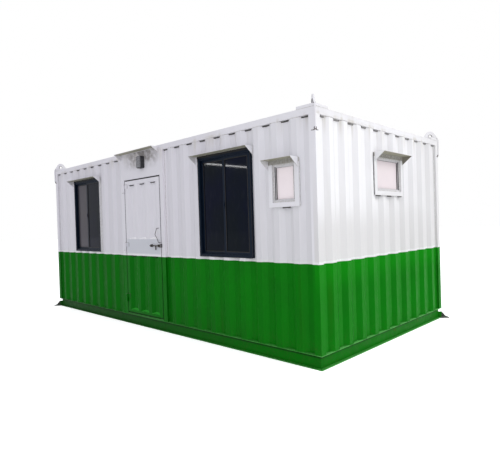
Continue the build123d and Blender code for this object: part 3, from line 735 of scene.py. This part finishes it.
def add_closed_tube(builder, loop, normal, radius, sides):
    """Tube round a flat closed line of points."""
    middle = sum(loop, Vector((0, 0, 0))) / len(loop)
    rings = []
    for point in loop:
        away = (point - middle).normalized()
        rings.append([
            builder.verts.new(point + (away * math.cos(turn) + normal * math.sin(turn)) * radius)
            for turn in turns(sides)
        ])
    for index, near in enumerate(rings):
        join_rings(builder, near, rings[(index + 1) % len(rings)])


def line_points(start, end, step):
    count = max(1, round((end - start).length / step))
    return [start.lerp(end, index / count) for index in range(count + 1)]


def add_bead(builder, start, end, step, radius, wobble=0.3):
    """Straight bead, with a ring of vertices about every step."""
    add_tube(builder, line_points(start, end, step), radius, 6, wobble)


def add_wall_bead(builder, wall, start, end, out, step, radius, wobble=0.3):
    """Straight bead on a wall between two places, each given along and up."""
    add_bead(builder, wall.at(*start, out), wall.at(*end, out), step, radius, wobble)


def add_block(builder, wall, along, up, out, chamfer):
    """Block on a wall with all its edges chamfered."""
    corners = [wall.at(a, u, o) for o in out for u in up for a in along]
    verts = [builder.verts.new(corner) for corner in corners]
    faces = [
        builder.faces.new([verts[index] for index in loop])
        for loop in ((0, 1, 3, 2), (4, 6, 7, 5), (0, 4, 5, 1), (2, 3, 7, 6), (0, 2, 6, 4), (1, 5, 7, 3))
    ]
    edges = list({edge for face in faces for edge in face.edges})
    bmesh.ops.bevel(builder, geom=edges, offset=chamfer, segments=1, affect="EDGES")


def add_ring(builder, wall, along, up, out, rim):
    """Rectangular ring of square strip on a wall."""
    loops = []
    for inset, level in ((0, out[0]), (0, out[1]), (rim, out[1]), (rim, out[0])):
        places = (
            (along[0] + inset, up[0] + inset), (along[1] - inset, up[0] + inset),
            (along[1] - inset, up[1] - inset), (along[0] + inset, up[1] - inset),
        )
        loops.append([builder.verts.new(wall.at(a, u, level)) for a, u in places])
    for index, loop in enumerate(loops):
        join_rings(builder, loop, loops[(index + 1) % 4])


def add_screw(builder, wall, along, up, out, radius):
    """Domed screw head with a round socket sunk in it."""
    sides = 12
    first_turn = rng.uniform(0, 0.25)
    rings = []
    for size, rise, first in ((1.0, 0.0, 0), (1.0, 0.25, 0), (0.72, 0.5, 0), (0.30, 0.32, first_turn)):
        rings.append([
            builder.verts.new(wall.at(
                along + math.cos(turn) * radius * size,
                up + math.sin(turn) * radius * size,
                out + radius * rise,
            ))
            for turn in turns(sides, first)
        ])
    for near, far in zip(rings, rings[1:]):
        join_rings(builder, near, far)
    builder.faces.new(rings[0][::-1])
    builder.faces.new(rings[-1])


# Welds of the sheets, and beads of painted shade at the heads of their valleys

SHEET_RUNS = (
    (FRONT, -POST_LINE_X, JAMB_LEFT), (FRONT, JAMB_RIGHT, POST_LINE_X),
    (BACK, -POST_LINE_X, POST_LINE_X),
    (RIGHT, -POST_LINE_Y, POST_LINE_Y), (LEFT, -POST_LINE_Y, POST_LINE_Y),
)
LEAST_VALLEY = 0.034
HALF_DASH = 0.050
DASH_SHARES = (0, 0.15, 0.325, 0.5, 0.675, 0.85, 1)


def valleys(wall, start, end):
    """Middles of the sheet valleys between two places along a wall."""
    first = math.ceil((start + LEAST_VALLEY) / wall.pitch)
    last = math.floor((end - LEAST_VALLEY) / wall.pitch)
    return [number * wall.pitch for number in range(first, last + 1)]


def add_sheet_welds():
    """Beads along the foot, head and upright edges of the sheets, and dark beads at the valleys' heads that
    stand in for the shade under the top rails, greyer on the lit ends.
    """
    lower = bmesh.new()
    upper = bmesh.new()
    gaps = bmesh.new()
    end_gaps = bmesh.new()
    upright_white = bmesh.new()
    upright_green = bmesh.new()
    uprights = ((upright_green, BEAM_HEIGHT, PAINT_LINE), (upright_white, PAINT_LINE, WALL_TOP))
    for wall, start, end in SHEET_RUNS:
        steps = round((end - start) / 0.02)
        places = [start + (end - start) * index / steps for index in range(steps + 1)]
        foot = [wall.at(place, BEAM_HEIGHT + 0.002, -wall.depth(place) + 0.0015) for place in places]
        head = [wall.at(place, WALL_TOP - 0.002, -wall.depth(place) + 0.0015) for place in places]
        add_tube(lower, foot, 0.0045, 6, 0.25)
        add_tube(upper, head, 0.0035, 6, 0.2)
        for middle in valleys(wall, start, end):
            low, high = max(middle - HALF_DASH, start + 0.002), min(middle + HALF_DASH, end - 0.002)
            line = [
                wall.at(place, WALL_TOP - 0.010, -wall.depth(place) + 0.003)
                for place in (low + (high - low) * share for share in DASH_SHARES)
            ]
            add_tube(gaps if wall in (FRONT, BACK) else end_gaps, line, 0.0080, 8, 0.18)
        for place in (start + 0.0015, end - 0.0015):
            out = -wall.depth(place) + 0.001
            for builder, low, high in uprights:
                add_wall_bead(builder, wall, (place, low), (place, high), out, 0.016, 0.0032, 0.25)
    finish_piece("sheet_foot_weld", lower, "green_weld")
    finish_piece("sheet_head_weld", upper, "weld")
    finish_piece("valley_head_shade_bead", gaps, "side_sealant")
    finish_piece("end_valley_head_sealant", end_gaps, "end_sealant")
    finish_piece("post_weld_white", upright_white, "weld")
    finish_piece("post_weld_green", upright_green, "green_weld")


# Welds of the frame, and lifting lugs

LUG_FOOT = HEIGHT - 0.232
LUG_WELD_LEVEL = HEIGHT + 0.031
CORNERS = tuple((end, side) for end in (-1, 1) for side in (-1, 1))


def upright(level):
    return Vector((0, 0, level))


def add_frame_welds():
    """Beads at the corners of the base, the caps and the feet of the lugs."""
    base = bmesh.new()
    caps = bmesh.new()
    feet = bmesh.new()
    for end, side in CORNERS:
        corner = Vector((end * HALF_LENGTH, side * HALF_WIDTH, 0))
        inward = Vector((-end, -side, 0)).normalized()
        across = Vector((-side, end, 0)).normalized()
        directions = (Vector((-end, 0, 0)), Vector((0, -side, 0)))
        for level in (BEAM_HEIGHT + 0.0005, FLANGE + 0.0005):
            add_bead(base, corner + upright(level), corner + inward * 0.050 + upright(level), 0.010, 0.0028)
        for direction in directions:
            begin = corner + upright(HEIGHT) + direction * 0.012
            add_bead(caps, begin, begin + direction * 0.215, 0.012, 0.0030)
        # A dark bead runs out over both faces of the post from the foot of the lug; it stands in for the
        # shadow line under the foot
        for direction in directions:
            begin = corner + upright(LUG_FOOT - 0.001)
            add_bead(feet, begin + direction * 0.004, begin + direction * 0.048, 0.008, 0.0040, 0.2)
        for sense in (-1, 1):
            offset = across * (sense * 0.0070)
            add_bead(feet, corner + offset + upright(LUG_WELD_LEVEL),
                     corner + offset + inward * 0.215 + upright(LUG_WELD_LEVEL), 0.010, 0.0045)
            add_bead(feet, corner + offset * 0.8 + upright(LUG_FOOT),
                     corner + offset * 0.8 + upright(LUG_FOOT + 0.027), 0.008, 0.0070)
    finish_piece("base_corner_weld", base, "green_weld")
    finish_piece("corner_cap_weld", caps, "weld")
    finish_piece("lug_foot_weld_and_shade_line", feet, "bare_weld")


def add_hole_rings():
    """Worn lips that loads have rolled up round the lifting holes."""
    rings = bmesh.new()
    for end, side in CORNERS:
        outward = Vector((end, side, 0)).normalized()
        across = Vector((-side, end, 0)).normalized()
        corner = Vector((end * HALF_LENGTH, side * HALF_WIDTH, HEIGHT + HOLE_RISE))
        middle = corner - outward * HOLE_INSET
        for sense in (-1, 1):
            loop = []
            for turn in turns(36):
                spread = 0.0265 + rng.uniform(-0.0004, 0.0004)
                out, up = math.cos(turn) * spread, math.sin(turn) * spread
                loop.append(middle + across * (sense * 0.0062) + outward * out + upright(up))
            add_closed_tube(rings, loop, across, 0.0020, 6)
    finish_piece("lifting_hole_lip", rings, "bare_weld")


add_sheet_welds()
add_frame_welds()
add_hole_rings()


# Large windows

REAR_TRACK = 0.038
FRONT_TRACK = 0.015


def add_window_gasket(name, centre, sash, shift):
    """Glazing gaskets of both sashes, sealant round the frame, and a black strip over the frame that stands
    in for the shade under the hood.
    """
    half = WINDOW_WIDTH / 2
    gasket = bmesh.new()
    for side, track in ((-1, REAR_TRACK), (1, FRONT_TRACK)):
        middle = centre + side * shift
        along = (middle - sash / 2 + STILE - 0.004, middle + sash / 2 - STILE + 0.004)
        up = (WINDOW_SILL + FRAME_FACE + STILE - 0.004, WINDOW_TOP - FRAME_FACE - STILE + 0.004)
        add_ring(gasket, FRONT, along, up, (-track - 0.0065, -track + 0.0012), 0.009)
    # A black strip stands in for the shade on the strip of wall under the hood
    add_block(gasket, FRONT, (centre - half - 0.012, centre + half + 0.012),
              (WINDOW_TOP - 0.002, WINDOW_TOP + 0.0225), (0.0004, 0.0030), 0.0008)
    sealant = (
        (centre - half, WINDOW_TOP), (centre - half, WINDOW_SILL),
        (centre + half, WINDOW_SILL), (centre + half, WINDOW_TOP),
    )
    for start, end in zip(sealant, sealant[1:]):
        add_wall_bead(gasket, FRONT, start, end, 0.0006, 0.03, 0.0032, 0.2)
    finish_piece(f"{name}_window_gasket", gasket, "seal")


def add_window_fittings(name, centre, sash, shift):
    """Catch at the meeting stiles, a pull on the front sash and drain covers on the sill."""
    fittings = bmesh.new()
    meeting = centre + shift - sash / 2 + STILE / 2
    pull = centre + shift + sash / 2 - STILE / 2
    level = (WINDOW_SILL + WINDOW_TOP) / 2
    out = -FRONT_TRACK
    add_block(fittings, FRONT, (meeting - 0.011, meeting + 0.011), (level - 0.045, level + 0.045),
              (out, out + 0.005), 0.0015)
    add_block(fittings, FRONT, (meeting - 0.006, meeting + 0.006), (level - 0.012, level + 0.030),
              (out + 0.005, out + 0.012), 0.0020)
    add_ring(fittings, FRONT, (pull - 0.010, pull + 0.010), (level - 0.05, level + 0.05),
             (out, out + 0.0030), 0.0035)
    for place in (centre - 0.28, centre + 0.28):
        add_block(fittings, FRONT, (place - 0.017, place + 0.017), (WINDOW_SILL + 0.007, WINDOW_SILL + 0.013),
                  (0.0, 0.0035), 0.0012)
    finish_piece(f"{name}_window_fittings", fittings, "black_aluminium")


def add_large_window(name, centre):
    sash = (WINDOW_WIDTH - 2 * FRAME_FACE + STILE) / 2
    shift = (WINDOW_WIDTH - 2 * FRAME_FACE - sash) / 2
    add_window_gasket(name, centre, sash, shift)
    add_window_fittings(name, centre, sash, shift)


add_large_window("left", LEFT_CENTRE)
add_large_window("right", RIGHT_CENTRE)


# Small windows

def add_small_window(name, wall, centre, width, sill):
    """Gasket and draught strips, dark beads of painted shade on the sheet, and white beads round frame and
    surround.
    """
    left, right = centre - width / 2, centre + width / 2
    top = sill + SMALL_HIGH
    foot = sill - SURROUND
    inset = FRAME_FACE - 0.0005
    gasket = bmesh.new()
    add_ring(gasket, wall, (left + inset, right - inset), (sill + inset, top - inset),
             (-0.0262, -0.0205), 0.0085)
    low, high = sill + FRAME_FACE, top - FRAME_FACE
    for jamb in (left + FRAME_FACE, right - FRAME_FACE):
        strip = line_points(wall.at(jamb, low, -0.004), wall.at(jamb, high, -0.004), 0.05)
        add_tube(gasket, strip, 0.0045, 8)
    finish_piece(f"{name}_small_window_gasket", gasket, "seal")
    # Dark beads in the sheet valleys under the surround and down its left edge stand in for the shade there
    shade_beads = bmesh.new()
    for middle in valleys(wall, left - 0.10, right + 0.10):
        if abs(middle - centre) > width / 2 + 0.02:
            continue
        line = [
            wall.at(place, foot - 0.004, -wall.depth(place) * 0.45)
            for place in (middle + share * 0.048 for share in (-1, -0.5, 0, 0.5, 1))
        ]
        add_tube(shade_beads, line, 0.0070, 8, 0.2)
    edge = left - SURROUND - 0.0015
    add_wall_bead(shade_beads, wall, (edge, foot), (edge, top + 0.04), 0.002, 0.02, 0.0050, 0.25)
    finish_piece(f"{name}_small_window_shade_bead", shade_beads, "side_sealant")
    bead = bmesh.new()
    add_ring(bead, wall, (left + 0.001, right - 0.001), (sill + 0.001, top - 0.001), (0.0, 0.0045), 0.011)
    edge = right + SURROUND
    add_wall_bead(bead, wall, (edge, foot), (edge, top + 0.03), 0.001, 0.018, 0.0038)
    finish_piece(f"{name}_small_window_bead", bead, "weld")


add_small_window("front", FRONT, FRONT_SMALL_CENTRE, FRONT_SMALL_WIDTH, FRONT_SMALL_SILL)
add_small_window("end", RIGHT, END_SMALL_CENTRE, END_SMALL_WIDTH, END_SMALL_SILL)


# Closing strip and hoods

def add_closing_strip():
    """Folded strip that closes the valley beside the left window."""
    strip = bmesh.new()
    edge = LEFT_CENTRE + WINDOW_WIDTH / 2
    up = (WINDOW_SILL, WINDOW_TOP)
    add_block(strip, FRONT, (edge + 0.0005, edge + 0.0035), up, (-0.0355, -0.001), 0.0006)
    add_block(strip, FRONT, (edge + 0.0035, edge + 0.016), up, (-0.0357, -0.0330), 0.0006)
    finish_piece("left_window_closing_strip", strip, "trim")


def small_hood(centre, width, sill):
    """Left end, right end and top of the hood over a small window, and where it is seated."""
    half = width / 2 + SURROUND
    return centre - half, centre + half, sill + SMALL_HIGH + SMALL_HOOD_RISE, SURROUND_FACE


def add_hood_welds():
    """Beads along the roots of the hoods."""
    beads = bmesh.new()
    half = WINDOW_WIDTH / 2 + WINDOW_HOOD_SIDE
    hoods = (
        (FRONT, LEFT_CENTRE - half, LEFT_CENTRE + half, WINDOW_HOOD_TOP, 0.0),
        (FRONT, RIGHT_CENTRE - half, RIGHT_CENTRE + half, WINDOW_HOOD_TOP, 0.0),
        (FRONT, DOOR_HOOD_LEFT, DOOR_HOOD_RIGHT, DOOR_HOOD_TOP, 0.0),
        (FRONT, *small_hood(FRONT_SMALL_CENTRE, FRONT_SMALL_WIDTH, FRONT_SMALL_SILL)),
        (RIGHT, *small_hood(END_SMALL_CENTRE, END_SMALL_WIDTH, END_SMALL_SILL)),
    )
    for wall, start, end, top, seat in hoods:
        out = seat + 0.001
        add_wall_bead(beads, wall, (start, top), (end, top), out, 0.015, 0.0032)
        for place in (start, end):
            add_wall_bead(beads, wall, (place, top - 0.085), (place, top), out, 0.012, 0.0028)
    finish_piece("hood_root_weld", beads, "weld")


add_closing_strip()
add_hood_welds()


# Door

def add_trough_ends():
    """Dark beads under the heads of the leaf's troughs that stand in for the shade there, and folded ledges
    at their feet.
    """
    heads = bmesh.new()
    ledges = bmesh.new()
    for middle in (DOOR_CENTRE + number * TROUGH_PITCH for number in (-1, 0, 1)):
        for top in (UPPER_TROUGH[1], LOWER_TROUGH[1]):
            line = [
                FRONT.at(middle + share * 0.050, top - 0.016,
                         -TROUGH_DEPTH * min(1.0, 1.6 - abs(share)) * 0.62)
                for share in SHARES
            ]
            add_tube(heads, line, 0.0075, 8, 0.15)
        for foot in (UPPER_TROUGH[0], LOWER_TROUGH[0]):
            add_block(ledges, FRONT, (middle - 0.052, middle + 0.052), (foot + 0.0005, foot + 0.010),
                      (-0.024, -0.002), 0.0015)
    finish_piece("trough_head_shade_bead", heads, "seal", "door")
    finish_piece("trough_foot_ledge", ledges, "wall_paint", "door")


def add_door_seals():
    """Rubber in the gaps round the leaf, all of it fixed to the frame."""
    seal = bmesh.new()
    add_block(seal, FRONT, (LEAF_LEFT, LEAF_RIGHT), (LEAF_TOP + 0.006, OPENING_TOP), (-0.030, -0.014), 0.0015)
    for along in ((LEAF_RIGHT + 0.0032, LEAF_RIGHT + SIDE_GAP), (LEAF_LEFT - SIDE_GAP, LEAF_LEFT - 0.0015)):
        add_block(seal, FRONT, along, (LEAF_BOTTOM, LEAF_TOP), (-0.040, -0.004), 0.0008)
    for along in ((LEAF_LEFT - 0.006, LEAF_LEFT + 0.005), (LEAF_RIGHT - 0.005, LEAF_RIGHT + 0.006)):
        add_block(seal, FRONT, along, (LEAF_BOTTOM, OPENING_TOP - 0.016), (-0.0498, -0.0475), 0.0006)
    finish_piece("door_seal", seal, "seal")


def add_threshold():
    """Tread ribs on the sill in front of the leaf's foot."""
    tread = bmesh.new()
    for row in range(4):
        out = -0.058 - row * 0.005
        rib = line_points(FRONT.at(-0.50, 0.1652, out), FRONT.at(0.38, 0.1652, out), 0.08)
        add_tube(tread, rib, 0.0014, 6)
    finish_piece("threshold_tread", tread, "green_weld")


def add_pin_head(builder, level, radius, height):
    """Domed head on a hinge."""
    rings = []
    for size, rise in ((1.0, 0.0), (1.0, 0.45), (0.8, 0.8), (0.4, 1.0)):
        rings.append([
            builder.verts.new(Vector((
                HINGE_X + math.cos(turn) * radius * size,
                HINGE_Y + math.sin(turn) * radius * size,
                level + height * rise,
            )))
            for turn in turns(16)
        ])
    for near, far in zip(rings, rings[1:]):
        join_rings(builder, near, far)
    builder.faces.new(rings[0][::-1])
    builder.faces.new(rings[-1])


def add_hinge_details():
    """Pin heads, and beads down the edge and along one end of each hinge plate."""
    caps = bmesh.new()
    leaf_beads = bmesh.new()
    jamb_beads = bmesh.new()
    for level in HINGE_LEVELS:
        upper = level + BARREL + BARREL_GAP
        add_pin_head(caps, upper + BARREL, 0.0085, 0.005)
        top = upper + BARREL + 0.0005
        foot = level - 0.0005
        for builder, edge, low, end, level_across in (
            (leaf_beads, -0.4450, upper, (-0.500, -0.446), top),
            (jamb_beads, -0.5930, level, (-0.592, -0.538), foot),
        ):
            down = ((edge, low + 0.002), (edge, low + BARREL - 0.002))
            across = ((end[0], level_across), (end[1], level_across))
            for start, finish in (down, across):
                add_wall_bead(builder, FRONT, start, finish, 0.0012, 0.008, 0.0026)
    finish_piece("hinge_pin_head", caps, "steel", "door")
    finish_piece("hinge_leaf_weld", leaf_beads, "bare_weld", "door")
    finish_piece("hinge_jamb_weld", jamb_beads, "bare_weld")


def add_bolt_welds():
    """Beads at the feet of the bolt guides, the keeper and the pull."""
    moving = bmesh.new()
    bolt_tail = LEAF_RIGHT + 0.003 - BOLT_LENGTH
    for inset in (0.034, 0.214):
        start = bolt_tail + inset
        for level in (BOLT_LEVEL - 0.0185, BOLT_LEVEL + 0.0185):
            add_wall_bead(moving, FRONT, (start - 0.001, level), (start + 0.013, level), 0.001, 0.004, 0.0026)
    for along, level in ((LEAF_RIGHT - 0.054, BOLT_LEVEL + 0.245), (LEAF_RIGHT - 0.018, BOLT_LEVEL + 0.043)):
        loop = [
            FRONT.at(along + math.cos(turn) * 0.0048, level + math.sin(turn) * 0.0048, 0.0012)
            for turn in turns(14)
        ]
        add_closed_tube(moving, loop, FRONT.outward, 0.0020, 6)
    finish_piece("bolt_guide_weld", moving, "bare_weld", "door")
    fixed = bmesh.new()
    for level in (BOLT_LEVEL - 0.0225, BOLT_LEVEL + 0.0225):
        add_wall_bead(fixed, FRONT, (0.4125, level), (0.4245, level), 0.001, 0.004, 0.0026)
    finish_piece("keeper_weld", fixed, "bare_weld")


add_trough_ends()
add_door_seals()
add_threshold()
add_hinge_details()
add_bolt_welds()


# Lamp

def add_lamp_details():
    """Ribs across the lens and a screw at each corner of the body."""
    guard = bmesh.new()
    for number in range(-3, 4):
        level = LAMP_Z + number * 0.020
        line = [
            FRONT.at(LAMP_X + share * 0.044, level, 0.0738 - 0.003 * share * share)
            for share in SHARES
        ]
        add_tube(guard, line, 0.0016, 6)
    finish_piece("lamp_lens_rib", guard, "lamp_lens")
    screws = bmesh.new()
    for side in (-1, 1):
        for rise in (-1, 1):
            add_screw(screws, FRONT, LAMP_X + side * 0.045, LAMP_Z + rise * 0.0725, 0.0735, 0.0032)
    finish_piece("lamp_screw", screws, "steel")


add_lamp_details()


# Roof and inside

def add_roof_sealant():
    """Mastic where the roof sheet meets the rails."""
    mastic = bmesh.new()
    x, y, z = HALF_LENGTH - 0.0705, HALF_WIDTH - 0.0705, HEIGHT - 0.0050
    loop = [Vector((a, b, z)) for a, b in ((-x, -y), (x, -y), (x, y), (-x, y), (-x, -y))]
    for start, end in zip(loop, loop[1:]):
        add_bead(mastic, start, end, 0.03, 0.0048, 0.35)
    finish_piece("roof_edge_mastic", mastic, "lining")


def add_inside_trim():
    """Skirting and ceiling strips against the lining."""
    trim = bmesh.new()
    skirting = (0.1655, 0.225)
    ceiling = (2.490, 2.5205)
    out = (-0.090, -0.0805)
    x, y = POST_LINE_X - 0.001, POST_LINE_Y - 0.012
    for up in (skirting, ceiling):
        for wall, reach in ((BACK, x), (RIGHT, y), (LEFT, y)):
            add_block(trim, wall, (-reach, reach), up, out, 0.002)
    for along, up in (((-x, JAMB_LEFT), skirting), ((JAMB_RIGHT, x), skirting), ((-x, x), ceiling)):
        add_block(trim, FRONT, along, up, out, 0.002)
    finish_piece("inside_trim", trim, "lining")


add_roof_sealant()
add_inside_trim()


# Studio floor

def add_floor():
    mesh = bpy.data.meshes.new("studio_floor")
    edge = 60.0
    level = -0.0008
    grid = bmesh.new()
    places = ((-edge, -edge), (edge, -edge), (edge, edge), (-edge, edge))
    grid.faces.new([grid.verts.new((x, y, level)) for x, y in places])
    grid.to_mesh(mesh)
    grid.free()
    floor = bpy.data.objects.new("studio_floor", mesh)
    floor.data.materials.append(floor_material())
    scene.collection.objects.link(floor)


add_floor()
